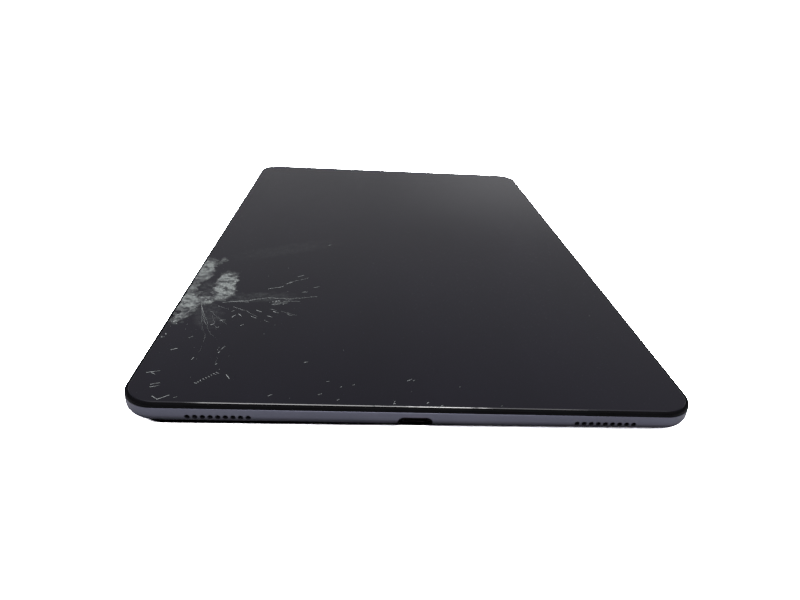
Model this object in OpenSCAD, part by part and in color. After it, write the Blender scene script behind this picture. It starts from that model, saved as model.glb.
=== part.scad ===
/* [Body] */
// Width across the two long edges
body_w = 149.4; // [148.6:0.1:151]
// Length between the two short edges
body_l = 245.2; // [244:0.1:247]
// Thickness from the back to the top of the cover glass
body_t = 7.5; // [7.5:0.05:7.7]
// Radius of the four outline corners
corner_r = 9.5; // [9.5:0.1:10.5]
// Wall and floor thickness of the metal rear cover
wall_t = 0.9; // [0.8:0.05:0.9]
// Height at which the metal side wall ends under the front frame
metal_top_z = 6.2; // [6.2:0.05:6.2]
// Distance in from the outline where the flat back begins
belly_inset = 8.5; // [8:0.1:8.5]
// Height where the curved belly has become the upright side wall
side_z = 4.2; // [4.1:0.05:4.3]
// Radius of the tight curve below the upright side wall
side_r = 2.5; // [2.4:0.1:2.6]

/* [Screen] */
// Distance from the outline to the edge of the cover glass
glass_inset = 0.95; // [0.9:0.05:1.0]
// Thickness of the cover glass
glass_t = 0.7; // [0.65:0.05:0.7]
// Chamfer ground around the top of the cover glass
glass_chamfer = 0.25; // [0.15:0.05:0.3]
// Width of the display module
lcd_w = 140.4; // [140:0.1:140.6]
// Length of the display module
lcd_l = 225; // [224:0.5:225]
// Place of the display module's middle along the body
lcd_y = -1.75; // [-2:0.25:-1.5]
// Number of light sources along the backlight strip
led_count = 24; // [12:1:26]

/* [Speakers] */
// Number of round sound holes in each group
hole_count = 9; // [5:2:9]
// Distance from one sound hole to the next
hole_pitch = 1.88; // [1.6:0.02:1.9]
// Radius of one sound hole
hole_r = 0.65; // [0.5:0.05:0.65]
// Height of the sound holes' centres
hole_z = 3.75; // [3.7:0.05:3.9]
// Distance of each group's middle from the centreline
grille_x = 49.5; // [48:0.5:51]

/* [USB port] */
// Width of the port's opening inside its shell
port_w = 8.34; // [8.34:0.01:8.34]
// Height of the port's opening inside its shell
port_h = 2.56; // [2.56:0.01:2.56]
// Height of the port's axis
port_z = 3.1; // [3.1:0.05:3.2]
// Distance from the outline to the mouth of the shell
port_mouth_inset = 2.7; // [2.6:0.1:3]

/* [Headphone jack] */
// Radius of the bore that takes the plug
jack_bore_r = 1.8; // [1.8:0.01:1.8]
// Place of the jack across the top edge
jack_x = -58; // [-58.5:0.5:-57.5]
// Height of the jack's axis
jack_z = 2.95; // [2.95:0.01:2.95]

/* [Keys] */
// Length of the power key
power_l = 11; // [10:0.5:12]
// Place of the power key along the right edge
power_y = 94; // [93.5:0.5:94.5]
// Length of the volume key
volume_l = 21; // [20:0.5:22]
// Place of the volume key along the right edge
volume_y = 73; // [72.5:0.5:73.5]
// Height of both keys across the edge
key_h = 1.9; // [1.7:0.1:2]
// How far both keys stand out of the side wall
key_proud = 0.35; // [0.2:0.05:0.4]

/* [Card tray] */
// Length of the tray's outer face
tray_face_l = 16; // [15.5:0.5:16]
// Height of the tray's outer face
tray_face_h = 2.1; // [2:0.1:2.1]
// Place of the tray along the right edge
tray_y = 50; // [50:0.5:50]
// Radius of the hole that takes the eject pin
eject_hole_r = 0.5; // [0.45:0.05:0.5]

/* [Cameras] */
// Place of the rear camera across the body
rear_cam_x = 61.5; // [61.5:0.5:61.5]
// Place of the rear camera along the body
rear_cam_y = 107.5; // [107.5:0.5:107.5]
// Radius of the rear camera's window
rear_window_r = 4; // [3.8:0.1:4]
// Place of the front camera along the body
front_cam_y = 115.3; // [115.2:0.1:115.4]

/* [Battery] */
// Width of one battery cell
cell_w = 58; // [54:1:60]
// Length of one battery cell
cell_l = 114; // [104:2:114]
// Thickness of one battery cell
cell_t = 3.4; // [3:0.1:3.4]

/* [Hidden] */

$fn = 48;
// Straight steps that make one quarter of a rounded outline, and one bend of the belly
corner_steps = 8;
belly_steps = 7;
// Extra length of a cutting shape past the face it opens
past = 1;
// Shortest flat left between two round ends
least = 0.001;

// Half sizes of the body
half_w = body_w / 2;
half_l = body_l / 2;

// Heights of the layers, from the floor of the cover up
floor_z = wall_t;
board_z = 2.3;
board_t = 0.8;
board_top = board_z + board_t;
tray_low = 5.05;
guide_z = 5.25;
film_z = 5.7;
panel_z = 5.9;
touch_z = 6.65;
frame_low = 6.35;
glass_z = body_t - glass_t;
ledge_z = glass_z - 0.1;

// Metals, plastics and the rest, by name
metal_blue = [0.29, 0.29, 0.35];
black = [0.05, 0.05, 0.06];
steel = [0.72, 0.73, 0.75];
copper = [0.78, 0.5, 0.2];
board_green = [0.08, 0.25, 0.2];
chip_grey = [0.16, 0.16, 0.17];
flex_amber = [0.55, 0.33, 0.1];
white = [0.92, 0.92, 0.9];

function round3(v) = round(v * 1000) / 1000;

// Points along an arc, to the micrometre
function arc(cx, cy, r, from, to, steps) =
  [for (i = [0:steps])
    let (a = from + (to - from) * i / steps)
      [round3(cx + r * cos(a)), round3(cy + r * sin(a))]];

// The same points in the opposite order
function backwards(points) =
  [for (i = [len(points) - 1:-1:0]) points[i]];

// Outline of a rectangle with rounded corners, centred on the origin
function rounded(w, l, r) = concat(
  arc(w / 2 - r, l / 2 - r, r, 0, 90, corner_steps),
  arc(r - w / 2, l / 2 - r, r, 90, 180, corner_steps),
  arc(r - w / 2, r - l / 2, r, 180, 270, corner_steps),
  arc(w / 2 - r, r - l / 2, r, 270, 360, corner_steps));

// The belly is two arcs that meet smoothly: a tight one under the side wall, and a wide
// one that runs out onto the flat back. A shell of thickness t keeps both centres.
belly_run = belly_inset - side_r;
belly_r = (belly_run * belly_run + side_z * side_z - side_r * side_r)
  / (2 * (side_z - side_r));
belly_turn = atan2(belly_run, belly_r - side_z);

// Profile of the cover from the flat back up to the height top, as [inset, height]
// pairs, on a surface that lies t inside the outer one
function belly(t, top) = concat(
  arc(belly_inset, belly_r, belly_r - t, 270, 270 - belly_turn, belly_steps),
  arc(side_r, side_z, side_r - t, 270 - belly_turn, 180, belly_steps),
  [[t, top]]);

// Corner angles of a sweep, with the direction of each corner from the middle
CORNERS = [[1, 1, 0], [-1, 1, 90], [-1, -1, 180], [1, -1, 270]];

// Carries a closed region of [inset, height] points right round the outline
module swept_ring(region) {
  for (c = CORNERS)
    translate([c[0] * (half_w - corner_r), c[1] * (half_l - corner_r), 0])
      rotate([0, 0, c[2]])
        rotate_extrude(angle = 90)
          polygon([for (p = region) [round3(corner_r - p[0]), p[1]]]);
  for (side = [-1, 1]) {
    rotate([90, 0, 0])
      linear_extrude(body_l - 2 * corner_r, center = true)
        polygon([for (p = region) [side * round3(half_w - p[0]), p[1]]]);
    rotate([90, 0, 90])
      linear_extrude(body_w - 2 * corner_r, center = true)
        polygon([for (p = region) [side * round3(half_l - p[0]), p[1]]]);
  }
}

// Solid slab whose rim has the given profile, read from its lowest point upwards
module swept_slab(profile) {
  low = profile[0][1];
  high = profile[len(profile) - 1][1];
  swept_ring(concat([[corner_r, low]], profile, [[corner_r, high]]));
  plate(body_w - 2 * corner_r, body_l - 2 * corner_r, low, high);
}

// Block between two heights, centred across and along the body or at a given place
module plate(w, l, low, high, x = 0, y = 0) {
  translate([x - w / 2, y - l / 2, low])
    cube([w, l, high - low]);
}

// Block between two heights with rounded upright edges
module rounded_plate(w, l, r, low, high, x = 0, y = 0) {
  translate([x, y, low])
    linear_extrude(high - low)
      polygon(rounded(w, l, r));
}

// Thin ribbon that follows a stepped path of [along, height] points, each segment
// level or upright. It runs along X, or along Y when turned by 90 degrees.
module ribbon(path, t, width) {
  rotate([90, 0, 0])
    linear_extrude(width, center = true)
      for (i = [0:len(path) - 2])
        let (a = path[i], b = path[i + 1])
          translate([min(a[0], b[0]) - t / 2, min(a[1], b[1]) - t / 2])
            square([abs(a[0] - b[0]) + t, abs(a[1] - b[1]) + t]);
}

// Slot with round ends in the plane of a side wall, cut along X or Y
module wall_slot(l, h, depth) {
  linear_extrude(depth)
    polygon(rounded(l, h, h / 2 - least));
}

// The space inside the cover, drawn in by a clearance all round
module cavity_fill(clear) {
  swept_slab(belly(wall_t + clear, tray_low));
}

/* Front: glass, frame and display */

module cover_glass() {
  color(black, 0.6)
    swept_slab([
      [glass_inset, glass_z],
      [glass_inset, body_t - glass_chamfer],
      [glass_inset + glass_chamfer, body_t]]);
}

module front_frame() {
  lip_z = body_t - 0.1;
  color(black)
    swept_ring([
      [0.25, metal_top_z], [0.25, frame_low], [0.05, frame_low], [0.05, 6.7],
      [0.12, 6.95], [0.28, 7.18], [0.5, 7.33], [0.72, lip_z],
      [0.88, lip_z], [0.88, ledge_z], [4, ledge_z], [4, metal_top_z],
      [2, metal_top_z], [2, 5.45], [1.2, 5.45], [1.2, metal_top_z]]);
}

module glass_adhesive() {
  color([0.1, 0.1, 0.1])
    swept_ring([[1.3, ledge_z], [1.3, glass_z], [3.9, glass_z], [3.9, ledge_z]]);
}

module touch_film() {
  color([0.4, 0.42, 0.45])
    plate(lcd_w, lcd_l, touch_z, glass_z, 0, lcd_y);
}

module touch_flex() {
  edge = -lcd_w / 2;
  outer = edge - 0.25;
  connector_x = -63.5;
  color(flex_amber) {
    translate([0, 98, 0])
      ribbon([
        [edge - 0.06, 6.72], [outer, 6.72], [outer, 4.9],
        [connector_x, 4.9], [connector_x, 4.2]], 0.12, 10);
    plate(3, 12, board_top, 4.14, connector_x, 98);
  }
}

// Two sheets of glass. The lower one is longer, and carries the driver chip on its ledge.
module lcd_panel() {
  ledge_l = 3;
  seam_z = panel_z + 0.35;
  color([0.12, 0.13, 0.15]) {
    plate(lcd_w - 0.4, lcd_l - 0.4, panel_z, seam_z, 0, lcd_y);
    plate(lcd_w - 0.4, lcd_l - 0.4 - ledge_l, seam_z, touch_z, 0, lcd_y - ledge_l / 2);
    plate(22, 1.2, seam_z, seam_z + 0.25, 0, lcd_y + lcd_l / 2 - 1.9);
  }
}

module lcd_flex() {
  edge = lcd_y + lcd_l / 2;
  outer = edge + 0.45;
  connector_y = 97;
  color(flex_amber) {
    rotate([0, 0, 90])
      ribbon([
        [edge - 0.9, 6.31], [outer, 6.31], [outer, 4.93],
        [connector_y, 4.93], [connector_y, 4.2]], 0.12, 36);
    plate(38, 2.6, board_top, 4.14, 0, connector_y);
  }
}

module diffuser_films() {
  color(white)
    plate(lcd_w - 1.2, lcd_l - 1.2, film_z, panel_z, 0, lcd_y);
}

module light_guide() {
  strip_room = 2.4;
  color([0.8, 0.9, 0.95], 0.7)
    plate(lcd_w - 1.2, lcd_l - 1.2 - strip_room, guide_z, film_z, 0,
      lcd_y + strip_room / 2);
}

module backlight_led_strip() {
  strip_y = lcd_y - lcd_l / 2 + 1.7;
  pitch = (lcd_w - 8) / led_count;
  color(white) {
    plate(lcd_w - 4, 1.8, guide_z, guide_z + 0.08, 0, strip_y);
    for (i = [0:led_count - 1])
      plate(2.6, 0.9, guide_z + 0.08, guide_z + 0.42,
        (i - (led_count - 1) / 2) * pitch, strip_y);
  }
}

module backlight_tray() {
  rim = 0.4;
  color(steel)
    difference() {
      plate(lcd_w, lcd_l, tray_low, panel_z, 0, lcd_y);
      plate(lcd_w - 2 * rim, lcd_l - 2 * rim, guide_z, panel_z + past, 0, lcd_y);
    }
}

module front_camera() {
  top_z = glass_z - 0.1;
  color(chip_grey)
    difference() {
      union() {
        plate(6, 6, 3.3, 5.4, 0, front_cam_y);
        translate([0, front_cam_y, 5.4])
          cylinder(h = top_z - 5.4, r = 2.2);
      }
      translate([0, front_cam_y, top_z - 0.5])
        cylinder(h = 0.5 + past, r1 = 0.9, r2 = 3.1);
    }
}

module light_sensor() {
  x = 14;
  color(chip_grey)
    plate(2.6, 1.8, 6.05, 6.6, x, front_cam_y);
  color(flex_amber)
    translate([x, 0, 0])
      rotate([0, 0, 90])
        ribbon([
          [front_cam_y + 0.8, 5.99], [front_cam_y - 1.9, 5.99],
          [front_cam_y - 1.9, 3.6], [109, 3.6], [109, board_top + 0.06]], 0.12, 2.4);
}

/* Rear cover, with its tunnels, bosses and wall openings */

// Where the main board's screws stand
MAIN_SCREWS = [[-63, 89], [-30, 108], [26, 108], [50, 95], [-16, 44], [36, 44], [62, 63]];
// Where the small lower board's screws stand
SUB_SCREWS = [[-18, -107], [18, -107]];
// Where the key bracket's screws stand
BRACKET_SCREWS = [[67.6, 63], [67.6, 99]];
// Places of the two microphones across the top edge
MIC_X = [-14, 36];

boss_r = 1.7;
screw_r = 0.6;
thread_clear = 0.05;
bracket_z = 1.7;

// Distances that set the port and the jack in from the outline
port_shell_t = 0.3;
tunnel_clear = 0.08;
tunnel_end_inset = 6.4;
jack_end_y = half_l - 14.3;
jack_face_y = half_l - tunnel_end_inset - 0.5;

module port_tunnel() {
  w = port_w + 2 * (port_shell_t + tunnel_clear);
  h = port_h + 2 * (port_shell_t + tunnel_clear);
  translate([0, 5 - half_l + past, port_z])
    rotate([90, 0, 0])
      wall_slot(w, h, 5 + 2 * past);
}

module speaker_holes() {
  for (side = [-1, 1], i = [0:hole_count - 1])
    translate([side * grille_x + (i - (hole_count - 1) / 2) * hole_pitch,
      3 - half_l, hole_z])
      rotate([90, 0, 0])
        cylinder(h = 3 + past, r = hole_r);
}

// Opening in the right wall for a key or the tray
module right_opening(y, z, l, h, clear) {
  translate([half_w - 4, y, z])
    rotate([90, 0, 90])
      wall_slot(l + 2 * clear, h + 2 * clear, 4 + past);
}

key_z = 4.1;
key_clear = 0.12;
tray_z = 4.0;
tray_clear = 0.1;

module boss(place, top) {
  translate([place[0], place[1], floor_z - 0.3])
    cylinder(h = top - floor_z + 0.3, r = boss_r);
}

module boss_hole(place, top) {
  translate([place[0], place[1], top - 1])
    cylinder(h = 1 + past, r = screw_r + thread_clear);
}

module rear_cover() {
  color(metal_blue)
    difference() {
      union() {
        swept_ring(concat(
          [[corner_r, 0]], belly(0, metal_top_z),
          backwards(belly(wall_t, metal_top_z)),
          [[corner_r, wall_t]]));
        plate(body_w - 2 * corner_r, body_l - 2 * corner_r, 0, wall_t);
        intersection() {
          swept_slab(belly(0.4, tray_low));
          union() {
            plate(12.6, 5.4, 0.5, 4.9, 0, 3 - half_l);
            plate(7.6, 6, 0.5, 4.9, jack_x, half_l - tunnel_end_inset + 3);
          }
        }
        for (p = MAIN_SCREWS) boss(p, board_z);
        for (p = SUB_SCREWS) boss(p, board_z);
        for (p = BRACKET_SCREWS) boss(p, bracket_z);
      }
      port_tunnel();
      speaker_holes();
      translate([jack_x, half_l + past, jack_z])
        rotate([90, 0, 0])
          cylinder(h = tunnel_end_inset + 2 * past, r = jack_bore_r);
      right_opening(power_y, key_z, power_l, key_h, key_clear);
      right_opening(volume_y, key_z, volume_l, key_h, key_clear);
      right_opening(tray_y, tray_z, tray_face_l, tray_face_h, tray_clear);
      translate([rear_cam_x, rear_cam_y, -past])
        cylinder(h = wall_t + 2 * past, r = rear_window_r + 1.05);
      for (x = MIC_X)
        translate([x, half_l + past, hole_z])
          rotate([90, 0, 0])
            cylinder(h = 3 + past, r = 0.5);
      for (p = MAIN_SCREWS) boss_hole(p, board_z);
      for (p = SUB_SCREWS) boss_hole(p, board_z);
      for (p = BRACKET_SCREWS) boss_hole(p, bracket_z);
    }
}

/* Rear camera */

barrel_r = 3.3;
barrel_clear = 0.08;

module at_rear_camera() {
  translate([rear_cam_x, rear_cam_y, 0])
    children();
}

module rear_camera_housing() {
  color(chip_grey)
    difference() {
      plate(10, 10, 1.7, 4.4, rear_cam_x, rear_cam_y);
      at_rear_camera()
        translate([0, 0, 1])
          cylinder(h = 5, r = barrel_r + barrel_clear);
    }
}

module rear_camera_barrel() {
  color(black)
    at_rear_camera()
      rotate_extrude()
        polygon([
          [0, 4.1], [barrel_r, 4.1], [barrel_r, 1.5], [3, 1.35], [2.6, 1.35],
          [1.5, 1.9], [1.2, 1.8], [0.7, 1.72], [0, 1.7]]);
}

module rear_camera_window() {
  color(black, 0.6)
    at_rear_camera()
      translate([0, 0, 0.15])
        cylinder(h = 0.6, r = rear_window_r);
}

module rear_camera_ring() {
  seat_r = rear_window_r + 0.02;
  outer_r = rear_window_r + 1;
  color(steel)
    at_rear_camera()
      rotate_extrude()
        polygon([
          [seat_r, 0.12], [seat_r + 0.12, 0], [outer_r - 0.1, 0], [outer_r, 0.1],
          [outer_r, 0.97], [outer_r + 0.8, 0.97], [outer_r + 0.8, 1.15],
          [3.5, 1.15], [3.5, 0.77], [seat_r, 0.77]]);
}

module rear_camera_flex() {
  connector_x = 48;
  color(flex_amber) {
    plate(9.6, 9.6, 4.42, 4.72, rear_cam_x, rear_cam_y);
    translate([0, rear_cam_y - 2, 0])
      ribbon([[rear_cam_x - 4.74, 4.57], [connector_x, 4.57], [connector_x, 4.1]], 0.12, 5);
    plate(2.4, 6, board_top, 4.04, connector_x, rear_cam_y - 2);
  }
}

/* Main board and what is on it */

module main_board() {
  mic_tab = 3;
  color(board_green)
    difference() {
      translate([0, 0, board_z])
        linear_extrude(board_t)
          polygon([
            [-20, 40], [66, 40], [66, 101.5], [55.5, 101.5], [55.5, 112],
            [MIC_X[1] + mic_tab, 112], [MIC_X[1] + mic_tab, 118.6],
            [MIC_X[1] - mic_tab, 118.6], [MIC_X[1] - mic_tab, 112],
            [MIC_X[0] + mic_tab, 112], [MIC_X[0] + mic_tab, 118.6],
            [MIC_X[0] - mic_tab, 118.6], [MIC_X[0] - mic_tab, 112],
            [-53.5, 112], [-53.5, 107], [-62.5, 107], [-62.5, 112],
            [-66, 112], [-66, 86], [-20, 86]]);
      for (p = MAIN_SCREWS)
        translate([p[0], p[1], board_z - past])
          cylinder(h = board_t + 2 * past, r = screw_r + 0.2);
    }
  color(chip_grey) {
    for (i = [0:7], j = [0:2])
      plate(1.2, 0.7, board_top, board_top + 0.5, -12 + i * 4, 50 + j * 3);
    for (i = [0:4])
      plate(2, 1.4, board_top, board_top + 0.8, 42, 66 + i * 3.4);
  }
}

shield_x = 17;
shield_y = 78;

module processor_chip() {
  color(chip_grey)
    rounded_plate(14, 14, 0.5, board_top, board_top + 1, shield_x - 7, shield_y);
}

module memory_chips() {
  color(chip_grey)
    for (side = [-1, 1])
      plate(9, 11.5, board_top, board_top + 0.9, shield_x + 8, shield_y + side * 6.6);
}

module power_chip() {
  color(chip_grey)
    plate(7, 7, board_top, board_top + 0.8, 48, 82);
}

module radio_chip() {
  color(chip_grey)
    plate(9, 8, board_top, board_top + 0.8, -47, 98);
}

// Folded sheet can that stands over part of the board
module shield_can(w, l, top, x, y) {
  sheet = 0.2;
  color(steel)
    difference() {
      rounded_plate(w, l, 0.8, board_top, top, x, y);
      rounded_plate(w - 2 * sheet, l - 2 * sheet, 0.6, board_top - past, top - sheet, x, y);
    }
}

module processor_shield() {
  shield_can(34, 28, 4.6, shield_x, shield_y);
}

module radio_shield() {
  shield_can(20, 12, 4.4, -47, 98);
}

module thermal_pad() {
  color([0.6, 0.65, 0.7])
    plate(12, 12, board_top + 1, 4.4, shield_x - 7, shield_y);
}

/* Battery */

cell_z = floor_z + 0.1;
cell_y = -27;
cell_x = cell_w / 2 + 2;
cell_end = cell_y + cell_l / 2;

// Soft pouch with rolled long edges, and a thin terrace where its tabs leave
module battery_cell(side) {
  top = cell_z + cell_t;
  color([0.2, 0.2, 0.22])
    translate([side * cell_x, cell_y, 0]) {
      rotate([90, 0, 0])
        linear_extrude(cell_l, center = true)
          polygon([
            [-cell_w / 2, cell_z + 1], [-cell_w / 2 + 1, cell_z],
            [cell_w / 2 - 1, cell_z], [cell_w / 2, cell_z + 1],
            [cell_w / 2, top - 1], [cell_w / 2 - 1, top],
            [-cell_w / 2 + 1, top], [-cell_w / 2, top - 1]]);
      plate(cell_w - 6, 3, cell_z + 1.2, cell_z + 1.6, 0, cell_l / 2 + 1.5);
    }
}

module battery_cell_left() {
  battery_cell(-1);
}

module battery_cell_right() {
  battery_cell(1);
}

module battery_board() {
  low = cell_z + 1.6;
  color(board_green)
    plate(84, 4.4, low, low + 0.7, 0, cell_end + 5.6);
  color(chip_grey)
    for (x = [-24, -8, 8])
      plate(4, 2.4, low + 0.7, low + 1.4, x, cell_end + 5.6);
  color(steel)
    for (side = [-1, 1], i = [-1, 1])
      plate(5, 3.2, low - 0.15, low, side * cell_x + i * 9, cell_end + 4.6);
}

module battery_flex() {
  low = cell_z + 2.3;
  color(flex_amber) {
    translate([24, 0, 0])
      rotate([0, 0, 90])
        ribbon([
          [cell_end + 6, low + 0.08], [cell_end + 9, low + 0.08],
          [cell_end + 9, 4.1], [43, 4.1], [43, 3.96]], 0.15, 9);
    plate(11, 2.4, board_top, 3.9, 24, 43);
  }
}

module battery_adhesive() {
  color([0.85, 0.85, 0.82])
    for (side = [-1, 1], i = [-1, 1])
      plate(12, cell_l - 12, floor_z, cell_z, side * cell_x + i * 16, cell_y);
}

/* USB port and the small lower board */

port_mouth_y = port_mouth_inset - half_l;
port_back_y = -112.2;

module port_prism(grow, from, to) {
  translate([0, to, port_z])
    rotate([90, 0, 0])
      wall_slot(port_w + 2 * grow, port_h + 2 * grow, to - from);
}

module usb_port_shell() {
  color(steel) {
    difference() {
      port_prism(port_shell_t, port_mouth_y, port_back_y);
      port_prism(0, port_mouth_y - past, port_back_y - port_shell_t);
    }
    for (side = [-1, 1], y = [-115.9, -113.4])
      plate(1.1, 1.6, board_top, board_top + 0.3, side * 4.95, y);
  }
}

module usb_port_tongue() {
  color(black) {
    plate(6.7, 5.4, port_z - 0.35, port_z + 0.35, 0, port_mouth_y + 3.1);
    port_prism(-0.05, port_back_y - 2, port_back_y - port_shell_t);
  }
}

module sub_board() {
  notch = port_w / 2 + port_shell_t + 0.1;
  color(board_green)
    difference() {
      plate(44, 12.6, board_z, board_top, 0, -110.3);
      plate(2 * notch, 8, board_z - past, board_top + past, 0, port_back_y - 3.9);
      for (p = SUB_SCREWS)
        translate([p[0], p[1], board_z - past])
          cylinder(h = board_t + 2 * past, r = screw_r + 0.2);
    }
  color(chip_grey)
    for (side = [-1, 1], i = [0:2])
      plate(1.6, 1, board_top, board_top + 0.6, side * (9 + i * 3), -112);
}

module sub_board_flex() {
  over_z = cell_z + cell_t + 0.12;
  low_y = -106;
  color(flex_amber) {
    rotate([0, 0, 90])
      ribbon([[low_y, 4.02], [low_y, over_z], [44, over_z], [44, 4.02]], 0.12, 8);
    plate(10, 2.4, board_top, 3.96, 0, low_y);
    plate(10, 2.4, board_top, 3.96, 0, 44);
  }
}

/* Headphone jack */

module headphone_jack() {
  length = jack_face_y - jack_end_y;
  color(black)
    difference() {
      plate(6.4, length + 1, 1.02, 4.95, jack_x, jack_face_y - (length + 1) / 2);
      translate([jack_x, jack_face_y + past, jack_z])
        rotate([90, 0, 0])
          cylinder(h = length + past, r = jack_bore_r);
      for (side = [-1, 1])
        plate(0.5, 6, jack_z - 0.5, 4.95 + past, jack_x + side * 2.6, jack_face_y - 4);
    }
}

module jack_contacts() {
  color(copper)
    for (side = [-1, 1], i = [0, 1])
      plate(0.3, 2.4, jack_z - 0.4, 4.9, jack_x + side * 2.6, jack_face_y - 2.4 - i * 3.2);
}

/* Speakers */

driver_x = 46;
driver_y = -99;

module speaker_box(side) {
  color(black)
    difference() {
      intersection() {
        plate(41, 33.1, 1.1, 4.9, side * 47.5, 18.05 - half_l);
        cavity_fill(0.25);
      }
      plate(25.4, 15.4, 1.8, 6, side * driver_x, driver_y);
      plate(17.4, 20, 3, 4.4, side * grille_x, 11 - half_l);
    }
}

module speaker_box_left() {
  speaker_box(-1);
}

module speaker_box_right() {
  speaker_box(1);
}

module speaker_drivers() {
  for (side = [-1, 1]) {
    color(steel)
      difference() {
        plate(25, 15, 1.85, 4.7, side * driver_x, driver_y);
        rounded_plate(22, 12, 5, 4.1, 6, side * driver_x, driver_y);
      }
    color(black)
      rounded_plate(15, 7, 3, 4.1, 4.5, side * driver_x, driver_y);
  }
}

module speaker_meshes() {
  color(chip_grey)
    for (side = [-1, 1])
      plate(17.2, 0.12, 3.05, 4.35, side * grille_x, 1.7 - half_l);
}

/* Keys, their switches and the bracket behind them */

key_face_x = half_w + key_proud;
flange_x = half_w - 2.1;
flange_t = 0.4;
switch_face_x = half_w - 2.7;
plunger_r = 0.8;
VOLUME_SWITCH = 7;

// Key with a rounded bar that stands in the wall, and a flange that keeps it inside
module side_key(y, l) {
  color(metal_blue) {
    translate([flange_x, y, key_z])
      rotate([90, 0, 90])
        wall_slot(l, key_h, key_face_x - flange_x);
    plate(flange_t, l + 2, key_z - 1.15, key_z + 1.15, flange_x, y);
  }
}

module power_key() {
  side_key(power_y, power_l);
}

module volume_key() {
  side_key(volume_y, volume_l);
}

module plunger(y) {
  back = 1.1;
  color(white)
    translate([flange_x - flange_t / 2 - back, y, key_z])
      rotate([0, 90, 0])
        cylinder(h = back, r = plunger_r);
}

module power_plunger() {
  plunger(power_y);
}

module volume_plungers() {
  for (side = [-1, 1])
    plunger(volume_y + side * VOLUME_SWITCH);
}

SWITCH_Y = [power_y, volume_y - VOLUME_SWITCH, volume_y + VOLUME_SWITCH];
switch_t = 1.8;
flex_x = switch_face_x - switch_t - 0.07;

module key_switches() {
  color(chip_grey)
    difference() {
      for (y = SWITCH_Y)
        plate(switch_t, 4.2, key_z - 1.4, key_z + 0.8 + 0.6, switch_face_x - switch_t / 2, y);
      for (y = SWITCH_Y)
        translate([switch_face_x - 1.2, y, key_z])
          rotate([0, 90, 0])
            cylinder(h = 1.2 + past, r = plunger_r + 0.2);
    }
}

module key_flex() {
  low_y = volume_y - 10;
  high_y = power_y + 4;
  color(flex_amber) {
    plate(0.14, high_y - low_y, key_z - 1.6, key_z + 0.8, flex_x, (low_y + high_y) / 2);
    translate([0, 84, 0])
      ribbon([[flex_x, 4.83], [62, 4.83], [62, 4.1]], 0.12, 4);
    plate(0.14, 4, key_z + 0.8, 4.89, flex_x, 84);
    plate(2.4, 6, board_top, 4.04, 62, 84);
  }
}

module key_bracket() {
  plate_x = flex_x - 0.27;
  low_y = 60.5;
  high_y = 101.5;
  color(steel)
    difference() {
      union() {
        plate(0.4, high_y - low_y, bracket_z, 4.6, plate_x, (low_y + high_y) / 2);
        for (p = BRACKET_SCREWS)
          plate(4, 5, bracket_z, bracket_z + 0.4, plate_x - 2, p[1]);
      }
      for (p = BRACKET_SCREWS)
        translate([p[0], p[1], bracket_z - past])
          cylinder(h = 0.4 + 2 * past, r = screw_r + 0.15);
    }
}

/* Card tray, its reader and the eject mechanism */

tray_end_x = 55.2;
tray_plate_w = 12.2;
tray_plate_y = tray_y + 1.3;
tray_plate_t = 0.9;
eject_y = tray_y - 6.4;
face_back_x = half_w - 0.9;

module card_tray() {
  low = tray_z - tray_plate_t / 2;
  card_w = 11.2;
  card_l = 15.2;
  color(metal_blue)
    difference() {
      union() {
        intersection() {
          swept_slab(belly(0.04, metal_top_z));
          translate([face_back_x, tray_y, tray_z])
            rotate([90, 0, 90])
              wall_slot(tray_face_l, tray_face_h, 2);
        }
        translate([tray_end_x, tray_plate_y - tray_plate_w / 2, low])
          cube([face_back_x - tray_end_x + 0.2, tray_plate_w, tray_plate_t]);
      }
      translate([tray_end_x + 1, tray_plate_y - card_w / 2, low + 0.15])
        cube([card_l, card_w, tray_plate_t]);
      translate([face_back_x - past, eject_y, tray_z])
        rotate([0, 90, 0])
          cylinder(h = 2 + past, r = eject_hole_r);
    }
}

// Soft ring that fills the wall opening behind the tray's face
module tray_seal() {
  seal_t = 0.5;
  fit = 0.01;
  color([0.25, 0.25, 0.27])
    translate([face_back_x - 0.05 - seal_t, tray_plate_y, tray_z])
      rotate([90, 0, 90])
        linear_extrude(seal_t)
          difference() {
            polygon(rounded(tray_plate_w + 0.9, tray_face_h - 0.3, 0.6));
            polygon(rounded(tray_plate_w + 2 * fit, tray_plate_t + 2 * fit, fit / 2));
          }
}

reader_low_x = 50;
reader_high_x = 69.6;
rail_gap = 0.25;

module card_reader_base() {
  rail_t = 0.4;
  base_t = 0.2;
  color(black) {
    translate([reader_low_x, 42.6, board_top])
      cube([reader_high_x - reader_low_x, 15.7, base_t]);
    for (side = [-1, 1])
      translate([tray_end_x, tray_plate_y + side * (tray_plate_w / 2 + rail_gap + rail_t / 2)
        - rail_t / 2, board_top])
        cube([reader_high_x - tray_end_x, rail_t, 1.35]);
  }
}

module card_reader_shell() {
  top = 4.75;
  sheet = 0.15;
  color(steel) {
    translate([reader_low_x, 42.3, top - sheet])
      cube([reader_high_x - reader_low_x, 16.3, sheet]);
    for (y = [42.3, 58.6 - sheet])
      translate([reader_low_x, y, board_top])
        cube([reader_high_x - reader_low_x, sheet, top - board_top]);
  }
}

lever_x = 53;
lever_arm = 5;
lever_y = eject_y + lever_arm;
lever_t = 1;
pin_r = 0.6;
pin_clear = 0.04;
rod_r = 0.45;
rod_gap = 0.3;

module eject_rod() {
  end_x = lever_x + lever_t / 2 + rod_gap;
  color(steel)
    translate([end_x, eject_y, tray_z])
      rotate([0, 90, 0]) {
        cylinder(h = 0.25, r1 = rod_r - 0.25, r2 = rod_r);
        translate([0, 0, 0.25])
          cylinder(h = half_w - 1.9 - end_x - 0.25, r = rod_r);
      }
}

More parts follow.
